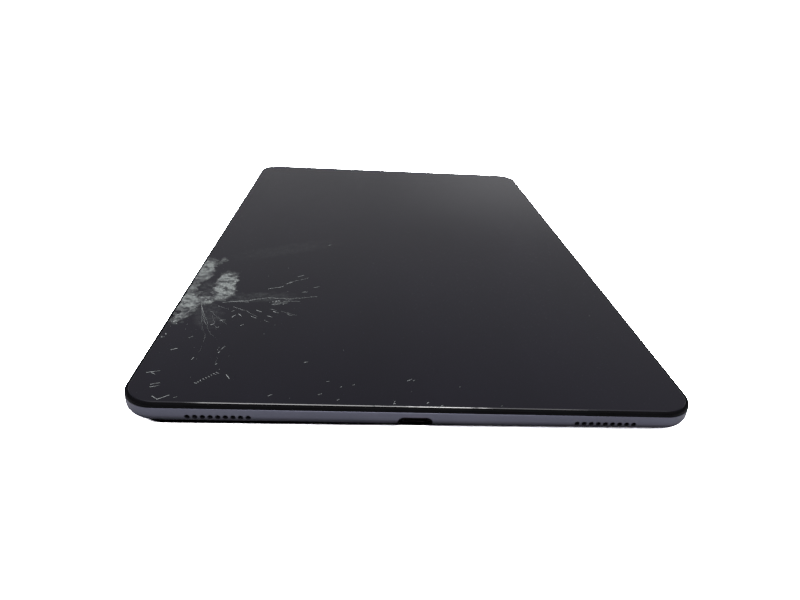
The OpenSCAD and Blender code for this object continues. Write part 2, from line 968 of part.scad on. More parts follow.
module eject_lever() {
  low = tray_z - 0.35;
  color(steel)
    translate([lever_x, lever_y, low])
      difference() {
        union() {
          translate([-lever_t / 2, -lever_arm - 0.5, 0])
            cube([lever_t, 2 * lever_arm + 1, 0.7]);
          cylinder(h = 0.7, r = 1.3);
        }
        translate([0, 0, -past])
          cylinder(h = 0.7 + 2 * past, r = pin_r + pin_clear);
      }
}

module lever_pin() {
  color(steel)
    translate([lever_x, lever_y, board_top + 0.2])
      cylinder(h = 4.6 - board_top - 0.2, r = pin_r);
}

/* Small pieces */

module microphones() {
  color(steel)
    for (x = MIC_X)
      plate(3.5, 2.7, board_top, 4.1, x, 117);
}

module screw(place, seat, l) {
  translate([place[0], place[1], seat - l]) {
    cylinder(h = l, r = screw_r);
    translate([0, 0, l])
      cylinder(h = 0.45, r = 1.3);
  }
}

module board_screws() {
  color(steel) {
    for (p = MAIN_SCREWS) screw(p, board_top, 1.6);
    for (p = SUB_SCREWS) screw(p, board_top, 1.6);
    for (p = BRACKET_SCREWS) screw(p, bracket_z + 0.4, 1.3);
  }
}

antenna_x = -40;
antenna_low_y = 113.2;

// Plastic block with the two copper arms of the antenna on its top
module wifi_antenna() {
  block_l = 5;
  block_top = 5.9;
  y = antenna_low_y + block_l / 2;
  color(white)
    plate(19, block_l, 3.2, block_top, antenna_x, y);
  color(copper)
    for (i = [-1, 1])
      plate(8, 3, block_top, block_top + 0.06, antenna_x + i * 5, y);
}

// Thin coaxial lead that leaves its snap plug level and ends on the antenna's block
module antenna_cable() {
  lead_r = 0.45;
  lead_z = board_top + 0.65;
  color([0.15, 0.15, 0.16])
    translate([antenna_x + 7, antenna_low_y - 10.2, 0]) {
      translate([0, 0, board_top])
        cylinder(h = 1.25, r = 1.2);
      translate([0, 0, lead_z])
        rotate([-90, 0, 0])
          cylinder(h = 10.2, r = lead_r);
    }
}

cover_glass();
front_frame();
glass_adhesive();
touch_film();
touch_flex();
lcd_panel();
lcd_flex();
diffuser_films();
light_guide();
backlight_led_strip();
backlight_tray();
front_camera();
light_sensor();
rear_cover();
rear_camera_housing();
rear_camera_barrel();
rear_camera_window();
rear_camera_ring();
rear_camera_flex();
main_board();
processor_chip();
memory_chips();
power_chip();
radio_chip();
processor_shield();
radio_shield();
thermal_pad();
battery_cell_left();
battery_cell_right();
battery_board();
battery_flex();
battery_adhesive();
usb_port_shell();
usb_port_tongue();
sub_board();
sub_board_flex();
headphone_jack();
jack_contacts();
speaker_box_left();
speaker_box_right();
speaker_drivers();
speaker_meshes();
power_key();
volume_key();
key_bracket();
key_flex();
key_switches();
power_plunger();
volume_plungers();
card_tray();
tray_seal();
card_reader_shell();
card_reader_base();
eject_rod();
eject_lever();
lever_pin();
microphones();
board_screws();
wifi_antenna();
antenna_cable();
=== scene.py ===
import math
import random

import bmesh
import bpy
from mathutils import Matrix, Vector, noise


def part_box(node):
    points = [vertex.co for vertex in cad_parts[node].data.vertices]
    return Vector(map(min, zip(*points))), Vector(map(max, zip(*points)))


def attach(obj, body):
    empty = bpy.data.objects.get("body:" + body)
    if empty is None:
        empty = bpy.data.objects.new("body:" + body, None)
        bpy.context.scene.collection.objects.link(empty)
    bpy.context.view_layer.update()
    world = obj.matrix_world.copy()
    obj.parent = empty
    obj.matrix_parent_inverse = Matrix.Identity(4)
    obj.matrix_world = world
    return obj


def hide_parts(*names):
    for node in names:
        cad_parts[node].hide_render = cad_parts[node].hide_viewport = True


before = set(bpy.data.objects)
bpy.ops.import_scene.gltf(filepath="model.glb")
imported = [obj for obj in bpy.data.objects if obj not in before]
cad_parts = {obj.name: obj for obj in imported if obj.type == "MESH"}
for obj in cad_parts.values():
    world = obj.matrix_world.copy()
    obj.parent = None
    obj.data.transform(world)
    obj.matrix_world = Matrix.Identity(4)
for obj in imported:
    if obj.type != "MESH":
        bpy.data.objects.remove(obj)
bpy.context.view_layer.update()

MM = 0.001
random.seed(20)

# ---------------------------------------------------------------- places from the frame

COVER_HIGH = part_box("rear_cover")[1]
GLASS_LOW, GLASS_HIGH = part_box("cover_glass")
HALF_W = COVER_HIGH.x / MM
HALF_L = COVER_HIGH.y / MM
METAL_TOP = COVER_HIGH.z / MM
GLASS_INSET = HALF_W - GLASS_HIGH.x / MM
GLASS_LOW_Z = GLASS_LOW.z / MM
GLASS_TOP_Z = GLASS_HIGH.z / MM

# ---------------------------------------------------------------- sizes in millimetres

CORNER_R = 9.5
CORNER_STEPS = 20
COVER_STEPS = (8, 12, 8, 12)  # along the far, left, near and right side
WALL = 0.9
BELLY_INSET = 8.5
SIDE_R = 2.5
SIDE_Z = 4.2
RIM_BREAK = 0.05

HOLE_COUNT = 9
HOLE_PITCH = 1.88
HOLE_R = 0.65
HOLE_Z = 3.75
GRILLE_X = 49.5

# opening of the port in the cover, its steel shell, and the depths where the shell begins and ends
PORT_W = 9.1
PORT_H = 3.32
PORT_Z = 3.1
PORT_MOUTH = 2.7
PORT_BACK = HALF_L - 112.2
SHELL_OUTER_W = 8.94
SHELL_OUTER_H = 3.16
SHELL_INNER_W = 8.34
SHELL_INNER_H = 2.56

JACK_X = -58
JACK_Z = 2.95
JACK_R = 1.8

KEY_Z = 4.1
KEY_H = 1.9
KEY_GAP = 0.12
KEY_PROUD = 0.35
POWER_Y = 94
POWER_L = 11
VOLUME_Y = 73
VOLUME_L = 21

TRAY_Y = 50
TRAY_Z = 4.0
TRAY_L = 16
TRAY_H = 2.1
TRAY_GAP = 0.1
PLATE_Y = TRAY_Y + 1.3
PLATE_HALF_W = 6.1
PLATE_HALF_T = 0.45
PLATE_END_X = 55.2
EJECT_HOLE_Y = TRAY_Y - 6.4

CAMERA_X = 61.5
CAMERA_Y = 107.5
CAMERA_HOLE_R = 5.05
MIC_X = (-14, 36)
MIC_R = 0.5
BOARD_SCREWS = (
    (-63, 89), (-30, 108), (26, 108), (50, 95), (-16, 44), (36, 44), (62, 63), (-18, -107), (18, -107),
)
BOARD_POST_TOP = 2.3
KEY_SCREWS = ((67.6, 63), (67.6, 99))
KEY_POST_TOP = 1.7

# the stretch of the left edge where the glass is chipped
HIT_FROM_Y = -92
HIT_TO_Y = -26

# crushed and hazy places of the glass: centre x and y, half width, half length, lean, strength
CRUSHED = (
    (-71.8, -38.5, 2.9, 10, 0, 0.9),
    (-72.4, -54, 1.9, 8, 0, 0.5),
    (-71.4, -64.5, 3, 6.5, 0, 1),
    (-66.6, -64, 3.2, 2.7, 0, 0.9),
    (-70.6, -75, 2, 5.5, -18, 0.6),
    (-61.8, -51.8, 3.3, 10.6, 4, 1.3),
    (-67.2, -29.5, 0.9, 3.2, -16, 0.3),
    (-66, -56, 3, 7, 0, 0.1),
    (-50, -60.5, 12, 3.4, 6, 0.07),
    (-41.6, -64.2, 2.6, 1, 0, 0.3),
    (-63, -73, 4, 9, 22, 0.07),
    (-44, -15, 20, 5, 30, 0.028),
)

# ---------------------------------------------------------------- mesh helpers


def shade(mesh, sharp):
    """Smooth shading, apart from edges sharper than an angle in degrees."""
    mesh.polygons.foreach_set("use_smooth", [True] * len(mesh.polygons))
    mesh.set_sharp_from_angle(angle=math.radians(sharp))


def new_piece(name, verts, faces, sharp=35):
    """A smooth-shaded mesh object with its vertices given in millimetres."""
    mesh = bpy.data.meshes.new(name)
    mesh.from_pydata([(x * MM, y * MM, z * MM) for x, y, z in verts], [], faces)
    mesh.validate()
    shade(mesh, sharp)
    piece = bpy.data.objects.new(name, mesh)
    bpy.context.scene.collection.objects.link(piece)
    return piece


def arc(cx, cy, r, start, end, steps):
    """Points along an arc, angles in degrees."""
    angles = [math.radians(start + (end - start) * k / steps) for k in range(steps + 1)]
    return [(cx + r * math.cos(a), cy + r * math.sin(a)) for a in angles]


def softened(profile, r, closed=True, steps=3):
    """The same profile with each corner turned into a small round of about radius r."""
    made = []
    count = len(profile)
    for k, p in enumerate(profile):
        if not closed and k in (0, count - 1):
            made.append(p)
            continue
        here = Vector(p)
        back = Vector(profile[k - 1]) - here
        ahead = Vector(profile[(k + 1) % count]) - here
        cut = min(r, 0.4 * back.length, 0.4 * ahead.length)
        if back.angle(ahead) > math.radians(160):
            made.append(p)
            continue
        first = here + back.normalized() * cut
        last = here + ahead.normalized() * cut
        for j in range(steps + 1):
            t = j / steps
            q = first * (1 - t) ** 2 + here * (2 * t * (1 - t)) + last * t ** 2
            made.append((q.x, q.y))
    return made


def outline(side_steps=COVER_STEPS):
    """Stations round the tablet, anticlockwise from the far end of the right side, each with the
    place that its corner radius is measured from and its outward direction."""
    corners = ((1, 1), (-1, 1), (-1, -1), (1, -1))
    stations = []
    for n, (sx, sy) in enumerate(corners):
        cx, cy = sx * (HALF_W - CORNER_R), sy * (HALF_L - CORNER_R)
        for k in range(CORNER_STEPS + 1):
            a = math.radians(90 * n + 90 * k / CORNER_STEPS)
            stations.append((cx, cy, math.cos(a), math.sin(a)))
        nx, ny = corners[(n + 1) % 4]
        ex, ey = nx * (HALF_W - CORNER_R), ny * (HALF_L - CORNER_R)
        last = stations[-1]
        steps = side_steps[n]
        for k in range(1, steps):
            t = k / steps
            stations.append((cx + (ex - cx) * t, cy + (ey - cy) * t, last[2], last[3]))
    return stations


def sweep(name, profile, stations, closed=False, sharp=35):
    """Carries a profile of (inset, height) pairs round the stations of the outline. Flat faces
    close both ends of an open profile."""
    count = len(stations)
    verts = [
        (cx + (CORNER_R - inset) * dx, cy + (CORNER_R - inset) * dy, z)
        for inset, z in profile
        for cx, cy, dx, dy in stations
    ]
    rows = len(profile)
    faces = []
    for i in range(rows if closed else rows - 1):
        a, b = i * count, (i + 1) % rows * count
        for k in range(count):
            n = (k + 1) % count
            faces.append((a + k, a + n, b + n, b + k))
    if not closed:
        faces.append(tuple(reversed(range(count))))
        faces.append(tuple(range((rows - 1) * count, rows * count)))
    return new_piece(name, verts, faces, sharp)


def stadium(length, height, steps=16):
    """Outline of a slot with round ends: for each point the offset of its end's centre, the
    radius and the outward direction."""
    r = height / 2
    run = max(length / 2 - r, 0)
    made = []
    for side, start in ((1, -90), (-1, 90)):
        for k in range(steps + 1):
            a = math.radians(start + 180 * k / steps)
            made.append((side * run, r, math.cos(a), math.sin(a)))
    return made


def along(points, place, direction):
    """Turns (u, v, depth) into places: depth runs against direction, u along the wall."""
    out = Vector(direction)
    up = Vector((0, 0, 1)) if abs(out.z) < 0.5 else Vector((0, 1, 0))
    side = up.cross(out)
    origin = Vector(place)
    return [tuple(origin + side * u + up * v - out * w) for u, v, w in points]


def loft(name, slot, rings, place, direction, sharp=35):
    """Carries a slot's outline through rings of (depth, growth), against a direction."""
    count = len(slot)
    points = [
        (run + (r + grow) * dx, (r + grow) * dy, depth)
        for depth, grow in rings
        for run, r, dx, dy in slot
    ]
    verts = along(points, place, direction)
    faces = []
    for i in range(len(rings) - 1):
        a, b = i * count, (i + 1) * count
        for k in range(count):
            n = (k + 1) % count
            faces.append((a + k, b + k, b + n, a + n))
    faces.append(tuple(range(count)))
    faces.append(tuple(reversed(range((len(rings) - 1) * count, len(rings) * count))))
    return new_piece(name, verts, faces, sharp)


def lathe(name, profile, place):
    """Turns a closed profile of (radius, height) pairs round an upright axis."""
    rings = len(profile)
    steps = 64
    points = [
        (r * math.cos(2 * math.pi * k / steps), r * math.sin(2 * math.pi * k / steps), -h)
        for r, h in profile
        for k in range(steps)
    ]
    verts = along(points, place, (0, 0, 1))
    faces = []
    for i in range(rings):
        a, b = i * steps, (i + 1) % rings * steps
        for k in range(steps):
            n = (k + 1) % steps
            faces.append((a + k, a + n, b + n, b + k))
    piece = new_piece(name, verts, faces)
    tidy_mesh(piece)
    return piece


def tidy_mesh(piece, sharp=35):
    """Merges doubled points, turns faces outwards and sets the sharp edges again."""
    work = bmesh.new()
    work.from_mesh(piece.data)
    bmesh.ops.remove_doubles(work, verts=work.verts, dist=0.5e-6)
    bmesh.ops.dissolve_degenerate(work, dist=0.5e-6, edges=work.edges)
    bmesh.ops.recalc_face_normals(work, faces=work.faces)
    work.to_mesh(piece.data)
    work.free()
    shade(piece.data, sharp)


def combine(piece, tool, operation, sharp=35):
    """Applies one boolean between two closed pieces and removes the tool."""
    for each in (piece, tool):
        work = bmesh.new()
        work.from_mesh(each.data)
        bmesh.ops.recalc_face_normals(work, faces=work.faces)
        work.to_mesh(each.data)
        work.free()
    modifier = piece.modifiers.new(operation.lower(), "BOOLEAN")
    modifier.operation = operation
    modifier.solver = "EXACT"
    modifier.object = tool
    graph = bpy.context.evaluated_depsgraph_get()
    result = bpy.data.meshes.new_from_object(piece.evaluated_get(graph))
    piece.modifiers.clear()
    piece.data = result
    bpy.data.objects.remove(tool)
    tidy_mesh(piece, sharp)


def soften_edges(piece, width, segments):
    """A small round on the sharp edges of a piece, from a modifier."""
    bevel = piece.modifiers.new("soft", "BEVEL")
    bevel.width = width * MM
    bevel.segments = segments
    bevel.limit_method = "ANGLE"
    bevel.angle_limit = math.radians(50)


# ---------------------------------------------------------------- materials


class Nodes:
    """A node tree, with short ways to add nodes and links."""

    def __init__(self, tree):
        self.tree = tree

    def add(self, kind, links=(), **values):
        """A new node with values for its sockets or settings, and links into it."""
        made = self.tree.nodes.new("ShaderNode" + kind)
        for key, value in values.items():
            if key in made.inputs:
                made.inputs[key].default_value = value
            else:
                setattr(made, key, value)
        for key, source in dict(links).items():
            self.tree.links.new(source, made.inputs[key])
        return made

    def remap(self, value, low, high, to_low, to_high, kind="LINEAR"):
        """A value taken from one range to another, and held at its ends."""
        made = self.add("MapRange", {"Value": value}, interpolation_type=kind)
        for key, number in (
            ("From Min", low), ("From Max", high), ("To Min", to_low), ("To Max", to_high),
        ):
            made.inputs[key].default_value = number
        return made.outputs["Result"]

    def math(self, operation, *values):
        made = self.add("Math", operation=operation)
        for slot, value in enumerate(values):
            if isinstance(value, (int, float)):
                made.inputs[slot].default_value = value
            else:
                self.tree.links.new(value, made.inputs[slot])
        return made.outputs[0]

    def mix(self, share, a, b):
        """Blends two colours, each a tuple or an output."""
        made = self.add("Mix", data_type="RGBA")
        self.tree.links.new(share, made.inputs["Factor"])
        for slot, value in ((6, a), (7, b)):
            if isinstance(value, tuple):
                made.inputs[slot].default_value = (*value, 1)
            else:
                self.tree.links.new(value, made.inputs[slot])
        return made.outputs[2]

    def vector(self, operation, *values):
        made = self.add("VectorMath", operation=operation)
        for slot, value in enumerate(values):
            if isinstance(value, tuple):
                made.inputs[slot].default_value = value
            else:
                self.tree.links.new(value, made.inputs[slot])
        return made.outputs["Value" if operation == "LENGTH" else "Vector"]


class Look(Nodes):
    """A material of one principled shader, whose textures lie in the piece's own coordinates."""

    def __init__(self, name, colour, roughness, metallic=0.0, **sockets):
        self.material = bpy.data.materials.new(name)
        self.material.use_nodes = True
        super().__init__(self.material.node_tree)
        self.shader = self.tree.nodes["Principled BSDF"]
        self.shader.inputs["Base Color"].default_value = (*colour, 1)
        self.shader.inputs["Roughness"].default_value = roughness
        self.shader.inputs["Metallic"].default_value = metallic
        for key, value in sockets.items():
            self.shader.inputs[key.replace("_", " ")].default_value = value
        self.place = self.add("TexCoord").outputs["Object"]

    def noise(self, per_mm, detail=3, roughness=0.5, place=None):
        """Noise with so many lumps to the millimetre, from 0 to 1."""
        made = self.add("TexNoise", {"Vector": place or self.place}, Scale=per_mm / MM)
        made.inputs["Detail"].default_value = detail
        made.inputs["Roughness"].default_value = roughness
        return made.outputs["Fac"]

    def stretched(self, x, y, z):
        """Object coordinates scaled along each axis."""
        made = self.add("Mapping", {"Vector": self.place})
        made.inputs["Scale"].default_value = (x, y, z)
        return made.outputs["Vector"]

    def set(self, socket, value):
        self.tree.links.new(value, self.shader.inputs[socket])

    def bump(self, height, distance_mm):
        made = self.add("Bump", {"Height": height}, Distance=distance_mm * MM)
        made.inputs["Strength"].default_value = 1
        self.set("Normal", made.outputs["Normal"])


def speckled(name, dark, light, lumps_per_mm, rough, bump_mm=0.01):
    """A surface whose colour and gloss drift a little, with a fine grain in its height."""
    look = Look(name, dark, rough[0])
    broad = look.noise(lumps_per_mm / 8, 4)
    fine = look.noise(lumps_per_mm, 2)
    both = look.math("MULTIPLY", look.math("ADD", broad, fine), 0.5)
    share = look.remap(both, 0.35, 0.65, 0, 1)
    look.set("Base Color", look.mix(share, dark, light))
    look.set("Roughness", look.remap(broad, 0.35, 0.65, *rough))
    look.bump(fine, bump_mm)
    return look.material


def brushed(name, dark, light, rough):
    """Sheet metal with fine lines along x."""
    look = Look(name, dark, rough[0], metallic=1)
    lines = look.noise(2, 4, 0.6, look.stretched(1, 12, 12))
    broad = look.noise(0.15, 3)
    look.set("Base Color", look.mix(look.remap(lines, 0.3, 0.7, 0, 1), dark, light))
    look.set("Roughness", look.remap(broad, 0.35, 0.65, *rough))
    look.bump(lines, 0.006)
    return look.material


def anodised_metal():
    """Fine blasted blue-grey aluminium, with a few bright nicks along its upper rim."""
    look = Look("blue_grey_metal", (0.09, 0.09, 0.115), 0.42, 0.9)
    grain = look.noise(9, 2)
    broad = look.noise(0.06, 4)
    tint = look.mix(look.remap(broad, 0.3, 0.7, 0, 1), (0.09, 0.092, 0.124), (0.108, 0.11, 0.146))
    tint = look.mix(look.remap(grain, 0.35, 0.75, 0, 0.25), tint, (0.16, 0.16, 0.2))
    height = look.add("SeparateXYZ", {"Vector": look.place}).outputs["Z"]
    rim = look.remap(height, (METAL_TOP - 0.5) * MM, (METAL_TOP - 0.05) * MM, 0, 1)
    nicks = look.remap(look.noise(1.3, 1), 0.77, 0.82, 0, 0.5)
    wear = look.math("MULTIPLY", rim, nicks)
    look.set("Base Color", look.mix(wear, tint, (0.3, 0.3, 0.33)))
    look.set("Roughness", look.remap(broad, 0.3, 0.7, 0.34, 0.44))
    look.bump(grain, 0.004)
    return look.material


def black_plastic():
    """Deep black matt plastic, with a little unevenness in its gloss."""
    look = Look("black_plastic", (0.004, 0.004, 0.005), 0.5, Specular_IOR_Level=0.04)
    broad = look.noise(0.12, 4)
    fine = look.noise(4, 2)
    tint = look.mix(look.remap(broad, 0.3, 0.7, 0, 1), (0.001, 0.001, 0.0015), (0.003, 0.003, 0.004))
    look.set("Base Color", tint)
    look.set("Roughness", look.remap(broad, 0.3, 0.7, 0.42, 0.54))
    look.bump(fine, 0.002)
    return look.material


def crushed_share(look):
    """How crushed or hazy the glass is: ragged rounded patches that fade at their rims, each as
    strong in its middle as CRUSHED says."""
    drift = look.add("TexNoise", {"Vector": look.place}, Scale=0.35 / MM)
    drift.inputs["Detail"].default_value = 6
    sway = 6 * MM
    shift = look.vector("MULTIPLY", drift.outputs["Color"], (sway, sway, 0))
    place = look.vector("SUBTRACT", look.vector("ADD", look.place, shift), (sway / 2, sway / 2, 0))
    share = None
    for x, y, half_x, half_y, lean, strength in CRUSHED:
        local = look.add("Mapping", {"Vector": place}, vector_type="TEXTURE")
        local.inputs["Location"].default_value = (x * MM, y * MM, GLASS_TOP_Z * MM)
        local.inputs["Rotation"].default_value = (0, 0, math.radians(lean))
        local.inputs["Scale"].default_value = (half_x * MM, half_y * MM, 1)
        squared = look.vector("MULTIPLY", local.outputs["Vector"], local.outputs["Vector"])
        here = look.remap(look.vector("LENGTH", squared), 1.45, 0.35, 0, strength)
        share = here if share is None else look.math("MAXIMUM", share, here)
    return share


def screen_glass():
    """Glass over a dark display: near black with faint smears, powdery grey where it is crushed."""
    look = Look("cover_glass", (0.001, 0.001, 0.0018), 0.07, IOR=1.5)
    smear = look.noise(0.03, 5, 0.6, look.stretched(1, 0.4, 1))
    fine = look.noise(0.6, 3)
    dark, less_dark = (0.0015, 0.0009, 0.0058), (0.0034, 0.0024, 0.009)
    tint = look.mix(look.remap(smear, 0.3, 0.7, 0, 1), dark, less_dark)
    share = crushed_share(look)
    streaks = look.noise(0.42, 6, 0.7, look.stretched(0.8, 1.1, 1))
    grit = look.noise(1.6, 5, 0.65)
    powder = look.mix(look.remap(grit, 0.38, 0.66, 0, 1), (0.12, 0.132, 0.128), (0.48, 0.52, 0.505))
    cells = look.add("TexVoronoi", {"Vector": look.place}, Scale=1.1 / MM)
    splinter = look.remap(cells.outputs["Color"], 0, 1, 0.55, 1.4)
    edges = look.add("TexVoronoi", {"Vector": look.place}, Scale=0.8 / MM, feature="DISTANCE_TO_EDGE")
    seams = look.remap(edges.outputs["Distance"], 0.02, 0.06, 1.5, 1)
    mottle = look.math("MULTIPLY", look.remap(streaks, 0.4, 0.6, 0.12, 1.2), splinter)
    patch = look.math("MULTIPLY", share, look.math("MULTIPLY", mottle, seams))
    look.set("Base Color", look.mix(patch, tint, powder))
    blend = look.math("MULTIPLY", smear, look.remap(fine, 0.3, 0.7, 0.8, 1.2))
    gloss = look.remap(blend, 0.3, 0.7, 0.04, 0.12)
    look.set("Roughness", look.math("ADD", gloss, look.math("MULTIPLY", share, 0.5)))
    relief = look.math("ADD", grit, cells.outputs["Distance"])
    look.bump(look.math("MULTIPLY", share, relief), 0.06)
    return look.material


def broken_glass():
    """Pale rough faces of cracked glass, some of them darker than others."""
    look = Look("broken_glass", (0.3, 0.32, 0.31), 0.35, IOR=1.5)
    patch = look.remap(look.noise(0.8, 3), 0.38, 0.62, 0, 1)
    look.set("Base Color", look.mix(patch, (0.19, 0.21, 0.205), (0.66, 0.7, 0.69)))
    look.set("Roughness", look.remap(look.noise(3, 2), 0.35, 0.65, 0.25, 0.5))
    return look.material


# darkest and lightest colour, lumps to the millimetre, range of roughness and, for two of them,
# how high the grain is in millimetres
SPECKLED = {
    "inner_plastic": ((0.02, 0.02, 0.022), (0.035, 0.035, 0.038), 6, (0.5, 0.65)),
    "board": ((0.008, 0.05, 0.035), (0.014, 0.085, 0.055), 3, (0.35, 0.5)),
    "chip": ((0.018, 0.018, 0.02), (0.03, 0.03, 0.032), 8, (0.5, 0.65)),
    "flex": ((0.26, 0.11, 0.025), (0.4, 0.18, 0.045), 2, (0.3, 0.42)),
    "panel": ((0.006, 0.006, 0.008), (0.012, 0.012, 0.015), 0.4, (0.12, 0.2)),
    "camera_glass": ((0.004, 0.004, 0.007), (0.008, 0.008, 0.014), 0.6, (0.03, 0.07), 0.0005),
    "white_film": ((0.75, 0.76, 0.76), (0.86, 0.86, 0.85), 1, (0.4, 0.55)),
    "pouch": ((0.07, 0.07, 0.075), (0.11, 0.11, 0.115), 1.5, (0.35, 0.5), 0.02),
    "soft_rubber": ((0.018, 0.018, 0.02), (0.03, 0.03, 0.033), 5, (0.7, 0.85)),
}

# darkest and lightest colour, range of roughness
BRUSHED = {
    "steel_sheet": ((0.42, 0.43, 0.45), (0.6, 0.61, 0.63), (0.25, 0.38)),
    "copper": ((0.62, 0.34, 0.15), (0.85, 0.55, 0.3), (0.22, 0.35)),
}


def slot_materials():
    """One procedural material for each material slot of the record."""
    made = {
        "cover_glass": screen_glass(),
        "black_plastic": black_plastic(),
        "blue_grey_metal": anodised_metal(),
    }
    made.update((slot, speckled(slot, *values)) for slot, values in SPECKLED.items())
    made.update((slot, brushed(slot, *values)) for slot, values in BRUSHED.items())
    return made


MATERIALS = slot_materials()
BROKEN_GLASS = broken_glass()


def finish_piece(piece, body, slot, *nodes, material=None):
    """Gives a piece the material of its slot, or the one given, puts it on its body, and hides the CAD
    nodes that it stands for.
    """
    piece.data.materials.clear()
    piece.data.materials.append(material or MATERIALS[slot])
    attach(piece, body)
    if nodes:
        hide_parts(*nodes)


# ---------------------------------------------------------------- camera, light and floor


def studio_camera():
    """Low three-quarter view over the near short edge, turned a little left and tilted."""
    yaw, elevation, roll = (math.radians(v) for v in (-3.96, 25.46, 3.41))
    distance = 231.4 * MM
    target = Vector((-0.26, -43.5, 0)) * MM
    back = Vector((
        math.sin(yaw) * math.cos(elevation),
        -math.cos(yaw) * math.cos(elevation),
        math.sin(elevation),
    ))
    right = Vector((math.cos(yaw), math.sin(yaw), 0))
    up = back.cross(right)
    tilted_right = right * math.cos(roll) + up * math.sin(roll)
    tilted_up = up * math.cos(roll) - right * math.sin(roll)
    data = bpy.data.cameras.new("camera")
    data.sensor_width = 36
    data.lens = 28.05
    data.clip_start = 0.005
    camera = bpy.data.objects.new("camera", data)
    turn = Matrix((tilted_right, tilted_up, back)).transposed().to_4x4()
    camera.matrix_world = Matrix.Translation(target + back * distance) @ turn
    bpy.context.scene.collection.objects.link(camera)
    bpy.context.scene.camera = camera


def area_light(name, place, aim, width, power):
    """A narrow rectangular lamp."""
    data = bpy.data.lights.new(name, "AREA")
    data.shape = "RECTANGLE"
    data.size = width
    data.size_y = 0.16
    data.energy = power
    lamp = bpy.data.objects.new(name, data)
    lamp.location = place
    lamp.rotation_euler = (Vector(aim) - Vector(place)).to_track_quat("-Z", "Y").to_euler()
    bpy.context.scene.collection.objects.link(lamp)


def studio_world():
    """A soft dome of light, brightest overhead and a little brighter low on the far right. It is
    plain white where the camera sees it directly."""
    world = bpy.data.worlds.new("studio")
    world.use_nodes = True
    bpy.context.scene.world = world
    nodes = Nodes(world.node_tree)
    way = nodes.add("SeparateXYZ", {"Vector": nodes.add("TexCoord").outputs["Generated"]}).outputs
    dome = nodes.remap(way["Z"], 0.6, 0.95, 0.28, 1.3, "SMOOTHSTEP")
    right = nodes.remap(way["X"], 0, 0.22, 0, 0.15, "SMOOTHSTEP")
    low = nodes.remap(way["Z"], 0.24, 0.34, 1, 0, "SMOOTHSTEP")
    light = nodes.tree.nodes["Background"]
    light.inputs["Color"].default_value = (0.97, 0.97, 1, 1)
    nodes.tree.links.new(nodes.math("MULTIPLY_ADD", right, low, dome), light.inputs["Strength"])
    white = nodes.add("Background", Color=(1, 1, 1, 1), Strength=1.2)
    either = nodes.add("MixShader", {"Fac": nodes.add("LightPath").outputs["Is Camera Ray"]})
    nodes.tree.links.new(light.outputs["Background"], either.inputs[1])
    nodes.tree.links.new(white.outputs["Background"], either.inputs[2])
    surface = nodes.tree.nodes["World Output"].inputs["Surface"]
    nodes.tree.links.new(either.outputs["Shader"], surface)


def edge_lights():
    """Lamps behind the camera, high up, that draw the bright line along the glass's near edge."""
    near_edge = (0.01, -HALF_L * MM, GLASS_TOP_Z * MM)
    for name, place, width, power in (
        ("edge_strip", (-0.045, -0.7, 0.82), 0.5, 2.3),
        ("edge_strip_bright", (0.145, -0.7, 0.82), 0.12, 1),
        ("edge_strip_wide", (0.04, -0.72, 0.84), 0.74, 1.1),
    ):
        area_light(name, place, near_edge, width, power)


def from_footprint(look, place, low, high):
    """0 inside the tablet's footprint and 1 outside it, changing between two distances in
    millimetres from its rim."""
    corner = ((HALF_W - CORNER_R) * MM, (HALF_L - CORNER_R) * MM, 0)
    beyond = look.vector("SUBTRACT", look.vector("ABSOLUTE", place), corner)
    away = look.vector("LENGTH", look.vector("MAXIMUM", beyond, (0, 0, 0)))
    return look.remap(away, (CORNER_R + low) * MM, (CORNER_R + high) * MM, 0, 1)


def studio_floor():
    """A pale floor that rises gently at its far end. The colour that it bounces onto the object
    carries a painted
    shadow: near black close round the object's footprint and bright further out, so it lights the
    object less from close by, as a floor under a soft light does. Where the camera sees it, it is
    over-bright white with a painted
    contact shadow: a black line just inside the footprint's rim, which leans to the left."""
    rows = [(-4, 0), (-1, 0), (1, 0)]
    rows += [(1 + 0.5 * k, 0.004 * k * k) for k in range(1, 25)]
    half_width = 14
    verts = [(side * half_width / MM, y / MM, z / MM) for y, z in rows for side in (-1, 1)]
    faces = [(2 * k, 2 * k + 1, 2 * k + 3, 2 * k + 2) for k in range(len(rows) - 1)]
    floor = new_piece("floor", verts, faces)
    look = Look("floor", (0.6, 0.6, 0.6), 0.9, Specular_IOR_Level=0)
    # painted shadow: the colour bounced onto the object goes near black towards the footprint
    lit = from_footprint(look, look.place, -2, 12)
    painted_shadow_bounce = look.mix(lit, (0.02, 0.02, 0.02), (1.3, 1.3, 1.3))
    # painted contact shadow for camera rays: black just inside the footprint's rim, turned a little so
    # that it leans to the left
    turned = look.add("VectorRotate", {"Vector": look.place}, rotation_type="Z_AXIS", Angle=-0.011)
    clear = from_footprint(look, turned.outputs["Vector"], -3.4, -2.8)
    seen_white_with_painted_shadow = look.mix(clear, (0, 0, 0), (20, 20, 20))
    seen = look.add("LightPath").outputs["Is Camera Ray"]
    look.set("Base Color", look.mix(seen, painted_shadow_bounce, seen_white_with_painted_shadow))
    floor.data.materials.append(look.material)


# ---------------------------------------------------------------- cover of blue-grey metal


def belly(t):
    """The outer side of the cover, moved in by t: two arcs from the flat back to the side."""
    run = BELLY_INSET - SIDE_R
    wide_r = (run * run + SIDE_Z * SIDE_Z - SIDE_R * SIDE_R) / (2 * (SIDE_Z - SIDE_R))
    turn = math.degrees(math.atan2(run, wide_r - SIDE_Z))
    return (
        arc(BELLY_INSET, wide_r, wide_r - t, 270, 270 - turn, 14)
        + arc(SIDE_R, SIDE_Z, SIDE_R - t, 270 - turn, 180, 16)[1:]
    )


def wall_cut(slot, place, direction, depth, flare):
    """A cutting shape that opens a slot in a wall and breaks its outer edge."""
    outside = 0.6
    rings = [(-outside, flare + outside), (flare, 0), (depth, 0)]
    return loft("cut", slot, rings, place, direction)


